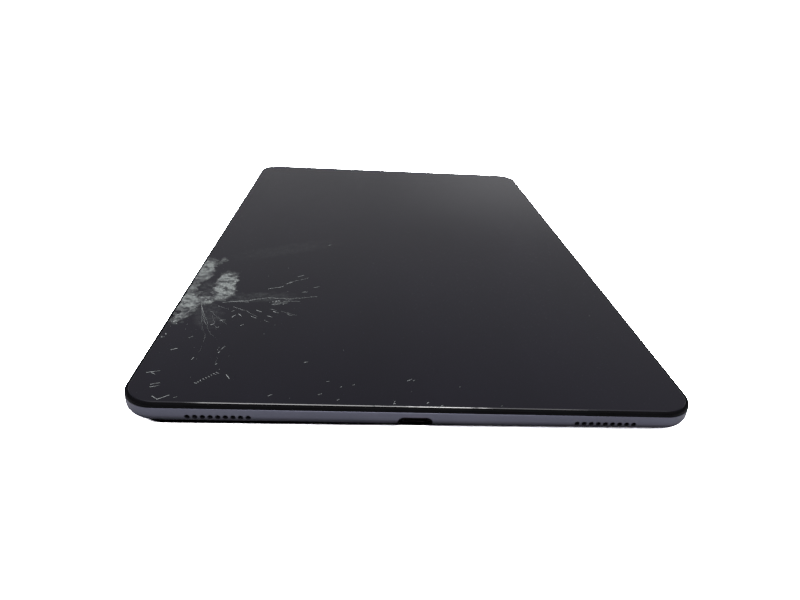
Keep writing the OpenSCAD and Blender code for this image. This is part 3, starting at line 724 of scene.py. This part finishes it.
def cover_cuts():
    """Every opening of the cover: grilles, port, jack, keys, tray, microphones, camera."""
    near, far, right, under = (0, -1, 0), (0, 1, 0), (1, 0, 0), (0, 0, -1)
    hole = stadium(2 * HOLE_R, 2 * HOLE_R, 12)
    for side in (-1, 1):
        for i in range(HOLE_COUNT):
            x = side * GRILLE_X + (i - (HOLE_COUNT - 1) / 2) * HOLE_PITCH
            yield wall_cut(hole, (x, -HALF_L, HOLE_Z), near, 3, 0.1)
    yield wall_cut(stadium(PORT_W, PORT_H), (0, -HALF_L, PORT_Z), near, 6, 0.05)
    jack = stadium(2 * JACK_R, 2 * JACK_R, 24)
    yield wall_cut(jack, (JACK_X, HALF_L, JACK_Z), far, 8, 0.15)
    for y, length in ((POWER_Y, POWER_L), (VOLUME_Y, VOLUME_L)):
        key = stadium(length + 2 * KEY_GAP, KEY_H + 2 * KEY_GAP)
        yield wall_cut(key, (HALF_W, y, KEY_Z), right, 4, 0.08)
    tray = stadium(TRAY_L + 2 * TRAY_GAP, TRAY_H + 2 * TRAY_GAP)
    yield wall_cut(tray, (HALF_W, TRAY_Y, TRAY_Z), right, 4, 0.06)
    for x in MIC_X:
        yield wall_cut(stadium(2 * MIC_R, 2 * MIC_R, 12), (x, HALF_L, HOLE_Z), far, 3, 0.08)
    lens = stadium(2 * CAMERA_HOLE_R, 2 * CAMERA_HOLE_R, 40)
    yield wall_cut(lens, (CAMERA_X, CAMERA_Y, 0), under, 3, 0.1)


def metal_cover():
    """The tray of metal that makes the back and the sides, with its openings."""
    outer = belly(0) + [(0, METAL_TOP - RIM_BREAK), (RIM_BREAK, METAL_TOP)]
    inner = [(WALL, METAL_TOP)] + list(reversed(belly(WALL)))
    cover = sweep("metal_cover", outer + inner, outline())
    for cut in cover_cuts():
        combine(cover, cut, "DIFFERENCE", 32)
    finish_piece(cover, "body", "blue_grey_metal", "rear_cover")


# ---------------------------------------------------------------- black frame and glass


def black_frame():
    """The black rim round the glass: a rounded shoulder, a seat for the glass and a skirt."""
    # inset from the outline and height
    region = [
        (0.25, 6.2), (0.25, 6.35), (0.05, 6.42), (0.05, 6.7), (0.12, 6.95), (0.28, 7.18),
        (0.5, 7.33), (0.72, 7.4), (0.88, 7.4), (0.88, 6.7), (4, 6.7), (4, 6.2), (2, 6.2),
        (2, 5.45), (1.2, 5.45), (1.2, 6.2),
    ]
    piece = sweep("black_frame", softened(region, 0.05), outline(), closed=True, sharp=40)
    tidy_mesh(piece, 40)
    finish_piece(piece, "body", "black_plastic", "front_frame")


def chipped(x, y, z):
    """Moves a point of the glass's edge inwards where the edge is chipped or uneven."""
    uneven, deepest_bite, spare = 0.03, 0.9, 0.05
    ripple = noise.noise(Vector((x * 0.35, y * 0.35, 3)))
    depth = uneven * max(ripple, 0)
    if x < 0 and HIT_FROM_Y < y < HIT_TO_Y:
        bite = noise.noise(Vector((x * 0.5, y * 0.9, 7)))
        depth += deepest_bite * max(bite - spare, 0)
    inward = Vector((-x, 0)) if HALF_W - abs(x) < HALF_L - abs(y) else Vector((0, -y))
    inward.normalize()
    return x + inward.x * depth, y + inward.y * depth, z - 0.25 * depth


def glass_plate():
    """The cover glass, with a ground chamfer that is chipped where the glass was hit. Two more
    rows of points on its flat top keep the shading of the top even."""
    chamfer = 0.21
    side = softened(
        [
            (GLASS_INSET + 0.05, GLASS_LOW_Z), (GLASS_INSET, GLASS_LOW_Z + 0.05),
            (GLASS_INSET, GLASS_TOP_Z - chamfer), (GLASS_INSET + chamfer, GLASS_TOP_Z),
            (GLASS_INSET + 3 * chamfer, GLASS_TOP_Z),
        ],
        0.07, closed=False, steps=5,
    ) + [(GLASS_INSET + 1.2, GLASS_TOP_Z), (GLASS_INSET + 2, GLASS_TOP_Z)]
    stations = outline((60, 400, 300, 60))
    piece = sweep("glass_plate", side, stations, sharp=50)
    first_row, flat_rows = 4, 3
    count = len(stations)
    for point in piece.data.vertices[first_row * count:-flat_rows * count]:
        x, y, z = (v / MM for v in point.co)
        point.co = Vector(chipped(x, y, z)) * MM
    tidy_mesh(piece, 50)
    finish_piece(piece, "body", "cover_glass", "cover_glass")


# ---------------------------------------------------------------- cracks, shards and scratches


FULL_TURN = 6.28  # radians


class Batch:
    """Many small closed shapes, collected into one mesh."""

    def __init__(self):
        self.verts = []
        self.faces = []

    def add(self, verts, faces):
        first = len(self.verts)
        self.verts += verts
        self.faces += [tuple(first + k for k in face) for face in faces]

    def piece(self, name):
        return new_piece(name, self.verts, self.faces)

    def finish_on_glass(self, name):
        """The mesh as a piece of broken glass on the front."""
        piece = new_piece(name, self.verts, self.faces, 20)
        tidy_mesh(piece, 20)
        finish_piece(piece, "body", "cover_glass", material=BROKEN_GLASS)


def wander(points, step, sway):
    """A path through the given points with small random turns, like a crack."""
    made = []
    for a, b in zip(points, points[1:]):
        start, run = Vector(a), Vector(b) - Vector(a)
        across = Vector((-run.y, run.x)).normalized()
        pieces = max(round(run.length / step), 1)
        for k in range(pieces):
            off = random.uniform(-sway, sway) if k else 0
            made.append(start + run * (k / pieces) + across * off)
    return made + [Vector(points[-1])]


def ridge(batch, path, wide, narrow, height=0.02):
    """A low three-sided ridge along a path on the glass, getting narrower."""
    rings = []
    count = len(path)
    for k, p in enumerate(path):
        run = (path[min(k + 1, count - 1)] - path[max(k - 1, 0)]).normalized()
        half = (wide + (narrow - wide) * k / (count - 1)) / 2
        if 0 < k < count - 1:
            half *= random.uniform(0.7, 1.3)
        low = GLASS_TOP_Z - 0.01
        rings.append((p.x + run.y * half, p.y - run.x * half, low))
        rings.append((p.x, p.y, GLASS_TOP_Z + height))
        rings.append((p.x - run.y * half, p.y + run.x * half, low))
    faces = [(0, 2, 1), (3 * count - 3, 3 * count - 2, 3 * count - 1)]
    for k in range(count - 1):
        for j in range(3):
            a, b = 3 * k + j, 3 * k + (j + 1) % 3
            faces.append((a, b, b + 3, a + 3))
    batch.add(rings, faces)


def dashed(batch, path, wide, narrow, gap):
    """The same ridge, broken into short lengths. gap is the share of it that is left out."""
    k = 0
    last = len(path) - 1
    while k < last:
        stop = min(k + random.randint(2, 5), last)
        if random.random() > gap:
            a = wide + (narrow - wide) * k / last
            b = wide + (narrow - wide) * stop / last
            ridge(batch, path[k:stop + 1], a, b)
        k = stop


def shard(batch, x, y, size, tilt):
    """A thin splinter with three to five corners, lying tilted on the glass."""
    corners = random.randint(3, 5)
    turn = random.uniform(0, FULL_TURN)
    lean_x, lean_y = (math.tan(math.radians(random.uniform(-tilt, tilt))) for _ in range(2))
    long_way = random.uniform(0.5, 1)
    flat = []
    for k in range(corners):
        a = turn + FULL_TURN * k / corners + random.uniform(-0.35, 0.35)
        flat.append((size * math.cos(a), size * long_way * math.sin(a)))
    heights = [u * lean_x + v * lean_y for u, v in flat]
    rise = GLASS_TOP_Z - min(heights) - 0.02
    thick = 0.05
    verts = [(x + u, y + v, rise + h) for (u, v), h in zip(flat, heights)]
    verts += [(px, py, pz - thick) for px, py, pz in verts]
    faces = [tuple(range(corners)), tuple(reversed(range(corners, 2 * corners)))]
    for k in range(corners):
        n = (k + 1) % corners
        faces.append((k, corners + k, corners + n, n))
    batch.add(verts, faces)


def inside_glass(x, y):
    """Whether a place is on the glass and clear of its chamfer."""
    rim = GLASS_INSET + 0.4
    return abs(x) < HALF_W - rim and abs(y) < HALF_L - rim


def crushed_shards():
    """Splinters in the crushed places along the left edge, a few strewn along the edge nearer the
    port, and a cluster on the longest crack."""
    batch = Batch()
    for x, y, half_x, half_y, lean, strength in CRUSHED:
        if strength < 0.5:
            continue
        c, s = math.cos(math.radians(lean)), math.sin(math.radians(lean))
        for _ in range(round(half_x * half_y * 0.9 * strength)):
            r, a = random.random() ** 0.6, random.uniform(0, FULL_TURN)
            u, v = half_x * r * math.cos(a), half_y * r * math.sin(a)
            px, py = x + c * u - s * v, y + s * u + c * v
            if inside_glass(px, py):
                shard(batch, px, py, random.uniform(0.08, 0.34), 8)
    for _ in range(26):
        x, y = random.uniform(-73.2, -70.5), random.uniform(-91, -74)
        shard(batch, x, y, random.uniform(0.1, 0.3), 14)
    for _ in range(16):
        x, y = random.uniform(-45, -38.5), random.uniform(-65.5, -61.5)
        shard(batch, x, y, random.uniform(0.1, 0.35), 8)
    batch.finish_on_glass("crushed_shards")


# each crack: its width at the start and at the end, the share of it left out, and its points
CRACKS = (
    (0.16, 0.05, 0, (-67, -65), (-65.5, -70), (-63.5, -75), (-61, -81)),
    (0.09, 0.03, 0.15, (-65.5, -70), (-63, -78), (-60, -85), (-58, -88)),
    (0.09, 0.02, 0.2, (-66, -68), (-64, -77), (-62, -84), (-60.5, -87)),
    (0.05, 0.02, 0.3, (-60.5, -87), (-60, -94), (-59.5, -101.5)),
    (0.06, 0.03, 0.35, (-62, -73), (-58, -84), (-55, -94), (-54, -103)),
    (0.12, 0.05, 0.1, (-67, -66), (-68.5, -70), (-70, -75), (-71, -80)),
    (0.16, 0.06, 0.15, (-65, -65), (-61, -67.5), (-57, -70)),
    (0.1, 0.04, 0.2, (-66, -66), (-63, -71), (-59, -76), (-56, -80)),
    (0.22, 0.12, 0.1, (-60, -65.2), (-58, -64.5), (-52, -63), (-46, -60.5)),
    (0.22, 0.1, 0.2, (-46, -60.5), (-38.5, -61), (-34, -59.5), (-29.5, -58.5)),
    (0.18, 0.08, 0.35, (-58, -64), (-50, -64), (-43, -63), (-35, -62.5)),
    (0.16, 0.08, 0.3, (-47, -53.5), (-43, -51.8), (-40, -47), (-34, -43)),
    (0.14, 0.06, 0.4, (-54, -66), (-48, -67.5), (-41, -70), (-35, -73)),
    (0.14, 0.06, 0.45, (-56, -68), (-51, -71), (-47, -75), (-43, -78)),
)

# each scratch: its width, where it begins and where it ends
DASHES = (
    (0.24, (-41, -48.5), (-39.3, -47.2)),
    (0.26, (-37.8, -42.2), (-35.8, -40.6)),
    (0.2, (-43.6, -52), (-42, -51)),
    (0.26, (-35, -55.4), (-33.2, -54.8)),
    (0.26, (-31.2, -51), (-29.4, -50.2)),
    (0.4, (-56, -71.4), (-55.2, -70.8)),
    (0.4, (-55, -75.4), (-54.3, -73.8)),
    (0.34, (-58.2, -77.8), (-56.6, -77.2)),
    (0.36, (-49.2, -74.4), (-47.4, -75.6)),
    (0.34, (-48.3, -70), (-46.5, -71.2)),
    (0.3, (-42.8, -70.6), (-41, -71.6)),
    (0.3, (-38, -72.4), (-36.4, -73.2)),
    (0.34, (-53.4, -73), (-52.2, -74.6)),
    (0.3, (-44.4, -73.6), (-42.6, -74.8)),
    (0.4, (-60.4, -80.8), (-59.6, -80.2)),
    (0.3, (-51.4, -80.8), (-50.6, -80)),
    (0.34, (-58.4, -82.6), (-57.6, -82)),
    (0.34, (-68, -96.4), (-66.4, -95.4)),
    (0.2, (-64.8, -89.2), (-63.8, -88.2)),
    (0.2, (-54.2, -95.6), (-53.4, -93.6)),
    (0.3, (-54.6, -97.4), (-54.2, -96.6)),
    (0.5, (-54, -103.6), (-53.6, -103.1)),
    (0.24, (-61, -101.5), (-60.6, -100)),
    (0.26, (-71, -108.4), (-67.6, -107.4)),
    (0.2, (-69.6, -108.4), (-68.4, -109.2)),
    (0.24, (-68, -115.2), (-65.8, -114.4)),
    (0.2, (-68.2, -114), (-66, -113.2)),
    (0.34, (-64.6, -120.6), (-62.1, -118.6)),
    (0.26, (-66.2, -119.2), (-64.4, -120.6)),
    (0.2, (-56.8, -112.8), (-56.2, -112.2)),
    (0.24, (-60.8, -119.8), (-60, -119.2)),
    (0.3, (-50, -108.6), (-48.8, -110.6)),
    (0.2, (-30, -101.6), (-29, -101)),
    (0.2, (-37.6, -118.2), (-36.6, -117.4)),
    (0.2, (-25, -117.2), (-24, -116.6)),
    (0.22, (-1.6, -109.8), (-0.2, -108.8)),
    (0.2, (5.6, -121.8), (6.6, -121.4)),
    (0.12, (-29, -9), (-27.4, -7.8)),
    (0.3, (-5.7, -120.6), (-5.1, -120.3)),
    (0.2, (-5.4, -120), (-5.2, -119.2)),
    (0.3, (2.9, -120.1), (3.5, -119.6)),
    (0.3, (6.5, -121), (7.1, -120.8)),
    (0.4, (-11, -121.8), (-10.4, -121.6)),
    (0.2, (-16.3, -112.5), (-15.7, -112)),
    (0.16, (-23.2, -111), (-22.4, -110.8)),
    (0.16, (-19.6, -113.6), (-19, -113.2)),
    (0.14, (12.3, -112.4), (12.7, -111.8)),
    (0.4, (0, -109.7), (0.5, -109.3)),
    (0.14, (-20, -119.5), (-19.4, -119)),
    (0.14, (22, -120.8), (22.5, -120.4)),
    (0.14, (-40.6, -63), (-38.4, -62.4)),
    (0.14, (-44, -65.6), (-42, -65.2)),
)


def crack_lines():
    """The cracks that spread from where the glass was hit, single scratches, and a row of short
    marks one after another near the corner."""
    batch = Batch()
    for wide, narrow, gap, *points in CRACKS:
        dashed(batch, wander(points, 0.8, 0.22), wide, narrow, gap)
    for wide, *points in DASHES:
        ridge(batch, wander(points, 0.5, 0.06), 0.75 * wide, 0.4 * wide, 0.03)
    rungs = 9
    for k in range(rungs):
        t = k / (rungs - 1)
        x, y = -57 + 4.4 * t, -113 + 5.2 * t
        path = wander([(x - 0.3, y + 0.2), (x + random.uniform(0.1, 0.5), y - 0.25)], 0.3, 0.04)
        ridge(batch, path, 0.2, 0.08, 0.03)
    batch.finish_on_glass("crack_lines")


def specks():
    """Grains of glass left on the front, most of them near the damage."""
    batch = Batch()
    hit_x, hit_y = -64, -70
    spread = 28
    anywhere = 0.02
    wanted = 260
    made = 0
    while made < wanted:
        x = random.uniform(-1, 1) * HALF_W
        y = random.uniform(-1, 1) * HALF_L
        away = math.hypot(x - hit_x, 0.7 * (y - hit_y))
        if not inside_glass(x, y) or random.random() > math.exp(-away / spread) + anywhere:
            continue
        shard(batch, x, y, random.uniform(0.04, 0.14), 10)
        made += 1
    batch.finish_on_glass("glass_specks")


# ---------------------------------------------------------------- port, grilles, keys, tray, camera


def cover_shape(inset):
    """A solid of the cover's outer shape, made smaller by inset, to trim pieces with."""
    return sweep("trim", belly(inset) + [(inset, METAL_TOP)], outline())


def hollow_slot(name, outer, inner, low, high, place, direction):
    """A tube with the section of a slot, between two depths."""
    edge = 0.03
    rings = [(low, -edge), (low + edge, 0), (high - edge, 0), (high, -edge)]
    piece = loft(name, outer, rings, place, direction)
    bore = [(low - 1, 0), (high + 1, 0)]
    combine(piece, loft("bore", inner, bore, place, direction), "DIFFERENCE")
    return piece


def usb_port():
    """The port: a black liner flush with the side, a steel shell, a tongue and its contacts."""
    mouth = (0, -HALF_L, PORT_Z)
    outward = (0, -1, 0)
    opening = stadium(PORT_W - 0.04, PORT_H - 0.04)
    throat = stadium(SHELL_INNER_W + 0.16, SHELL_INNER_H + 0.16)
    liner = hollow_slot("port_liner", opening, throat, -1, PORT_MOUTH - 0.05, mouth, outward)
    combine(liner, cover_shape(0.07), "INTERSECT")
    finish_piece(liner, "body", "black_plastic")
    outer = stadium(SHELL_OUTER_W, SHELL_OUTER_H)
    inner = stadium(SHELL_INNER_W, SHELL_INNER_H)
    shell = hollow_slot("port_shell", outer, inner, PORT_MOUTH, PORT_BACK, mouth, outward)
    finish_piece(shell, "body", "steel_sheet", "usb_port_shell")
    seat_back = PORT_BACK - 0.3
    tongue = port_bar("port_tongue", 3.35, (PORT_MOUTH + 0.4, seat_back), 0.35, 0.12)
    seat = stadium(SHELL_INNER_W - 0.1, SHELL_INNER_H - 0.1)
    plug = loft("seat", seat, [(PORT_BACK - 2, 0), (seat_back, 0)], mouth, outward)
    combine(tongue, plug, "UNION")
    finish_piece(tongue, "body", "black_plastic", "usb_port_tongue")
    pads = Batch()
    pad_ys = (PORT_MOUTH + 1 - HALF_L, PORT_MOUTH + 3.6 - HALF_L)
    for side in (-1, 1):
        z = PORT_Z + side * 0.355
        for k in range(12):
            x = -2.75 + 0.5 * k
            box(pads, (x - 0.14, x + 0.14), pad_ys, (z - 0.03, z + 0.03))
    finish_piece(pads.piece("port_contacts"), "body", "copper")


def box(batch, xs, ys, zs):
    """A plain small block, for fine parts such as wires and contacts."""
    verts = [(x, y, z) for z in zs for y in ys for x in xs]
    faces = [(0, 2, 3, 1), (4, 5, 7, 6), (0, 1, 5, 4), (2, 6, 7, 3), (0, 4, 6, 2), (1, 3, 7, 5)]
    batch.add(verts, faces)


def port_bar(name, half_x, depths, half_z, cut):
    """A flat bar with broken edges, lying in the port and narrower at its tip."""
    in_x, in_z = half_x - cut, half_z - cut
    ring = [
        (-in_x, -half_z), (in_x, -half_z), (half_x, -in_z), (half_x, in_z),
        (in_x, half_z), (-in_x, half_z), (-half_x, in_z), (-half_x, -in_z),
    ]
    low, high = depths
    verts = []
    for depth, shrink in ((low, 0.85), (low + cut, 1), (high, 1)):
        verts += [(x * (0.5 + shrink / 2), depth - HALF_L, PORT_Z + z * shrink) for x, z in ring]
    faces = [tuple(reversed(range(8))), tuple(range(16, 24))]
    for i in (0, 8):
        for k in range(8):
            n = (k + 1) % 8
            faces.append((i + k, i + n, i + 8 + n, i + 8 + k))
    return new_piece(name, verts, faces, 30)


def speaker_weave():
    """Fine dark wire cloth behind both rows of sound holes."""
    batch = Batch()
    y = 1.7 - HALF_L
    front, back = (y - 0.03, y + 0.02), (y - 0.005, y + 0.045)
    half_wire, pitch = 0.035, 0.17
    low, high, half_length = 3.05, 4.35, 8.6
    for side in (-1, 1):
        middle = side * GRILLE_X
        left, right = middle - half_length, middle + half_length
        for k in range(round(2 * half_length / pitch) + 1):
            x = left + k * pitch
            box(batch, (x - half_wire, x + half_wire), front, (low, high))
        for k in range(round((high - low) / pitch) + 1):
            z = low + k * pitch
            box(batch, (left, right), back, (z - half_wire, z + half_wire))
    finish_piece(batch.piece("speaker_weave"), "body", "chip", "speaker_meshes")


def side_key(name, body, y, length, node):
    """A slim metal key with a softly crowned face, and the flange that holds it inside."""
    place = (HALF_W + KEY_PROUD, y, KEY_Z)
    crown = [(0, -0.55), (0.012, -0.4), (0.05, -0.2), (0.12, -0.07), (0.22, -0.01), (0.32, 0)]
    bar = loft(name, stadium(length, KEY_H, 20), crown + [(2.3, 0)], place, (1, 0, 0), 50)
    rim = [(2.25, -0.06), (2.3, 0), (2.6, 0), (2.65, -0.06)]
    flange = loft("flange", stadium(length + 2, 2.3, 20), rim, place, (1, 0, 0))
    combine(bar, flange, "UNION", 50)
    finish_piece(bar, body, "blue_grey_metal", node)


def card_tray():
    """The tray's face, trimmed to the curve of the side, and its thin plate with a card recess."""
    outward = (1, 0, 0)
    place = (HALF_W, TRAY_Y, TRAY_Z)
    face = loft("card_tray_face", stadium(TRAY_L, TRAY_H, 20), [(-1, 0), (0.9, 0)], place, outward)
    combine(face, cover_shape(0.04), "INTERSECT")
    hole = [(-0.4, 0.55), (0.09, 0.05), (0.16, 0), (2, 0)]
    pin = loft("pin", stadium(1, 1, 16), hole, (HALF_W, EJECT_HOLE_Y, TRAY_Z), outward)
    combine(face, pin, "DIFFERENCE", 40)
    soften_edges(face, 0.05, 3)
    finish_piece(face, "tray", "blue_grey_metal", "card_tray")
    low, high = TRAY_Z - PLATE_HALF_T, TRAY_Z + PLATE_HALF_T
    left, right = PLATE_Y - PLATE_HALF_W, PLATE_Y + PLATE_HALF_W
    plate = Batch()
    box(plate, (PLATE_END_X, HALF_W - 0.85), (left, right), (low, high))
    rails = plate.piece("card_tray_frame")
    recess = Batch()
    card = (PLATE_END_X + 1, PLATE_END_X + 16.2)
    box(recess, card, (left + 0.5, right - 0.5), (low + 0.15, high + 1))
    combine(rails, recess.piece("recess"), "DIFFERENCE")
    soften_edges(rails, 0.06, 2)
    finish_piece(rails, "tray", "blue_grey_metal")


def rear_camera():
    """Window, ring and lens barrel of the rear camera, all turned round one axis."""
    place = (CAMERA_X, CAMERA_Y, 0)
    section = [
        (4.02, 0.13), (4.15, 0), (4.88, 0), (5, 0.1), (5, 0.97), (5.8, 0.97), (5.8, 1.15),
        (3.5, 1.15), (3.5, 0.77), (4.02, 0.77),
    ]
    ring = lathe("camera_ring", softened(section, 0.04), place)
    finish_piece(ring, "body", "steel_sheet", "rear_camera_ring")
    window = [(4, 0.22), (4, 0.75), (0.01, 0.75), (0.01, 0.15), (3.93, 0.15)]
    finish_piece(lathe("camera_window", window, place), "body", "camera_glass", "rear_camera_window")
    barrel = [
        (0.01, 4.1), (3.27, 4.1), (3.3, 4.05), (3.3, 1.55), (3.25, 1.5), (3, 1.36), (2.6, 1.35),
        (2.45, 1.5), (2.3, 1.52), (2.15, 1.66), (2, 1.68), (1.85, 1.8), (1.5, 1.9), (1.2, 1.8),
        (0.95, 1.76), (0.7, 1.72), (0.35, 1.7), (0.01, 1.7),
    ]
    finish_piece(lathe("camera_barrel", barrel, place), "lens", "black_plastic", "rear_camera_barrel")


def cover_posts():
    """Hollow posts for the screws, sunk a little into the floor of the cover."""
    foot = WALL - 0.3
    places = [(place, BOARD_POST_TOP) for place in BOARD_SCREWS]
    places += [(place, KEY_POST_TOP) for place in KEY_SCREWS]
    for n, ((x, y), top) in enumerate(places):
        post = [
            (0.65, top - 1), (0.65, top - 0.03), (0.68, top), (1.65, top), (1.7, top - 0.05),
            (1.7, WALL + 0.25), (1.78, WALL + 0.08), (1.95, WALL), (1.95, foot), (0.65, foot),
        ]
        piece = lathe(f"cover_post_{n + 1}", post, (x, y, 0))
        finish_piece(piece, "body", "blue_grey_metal")


# ---------------------------------------------------------------- nodes kept from the frame


def dress_frame_nodes():
    """Gives each node that still shows its slot's procedural material."""
    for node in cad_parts.values():
        slot = node.data.materials[0].name.split(".")[0]
        node.data.materials[0] = MATERIALS[slot]


# ---------------------------------------------------------------- the scene

bpy.context.scene.view_settings.view_transform = "Standard"
dress_frame_nodes()
studio_camera()
studio_world()
edge_lights()
studio_floor()
metal_cover()
black_frame()
glass_plate()
usb_port()
speaker_weave()
side_key("power_key_cap", "power_button", POWER_Y, POWER_L, "power_key")
side_key("volume_key_cap", "volume_button", VOLUME_Y, VOLUME_L, "volume_key")
card_tray()
rear_camera()
cover_posts()
crushed_shards()
crack_lines()
specks()
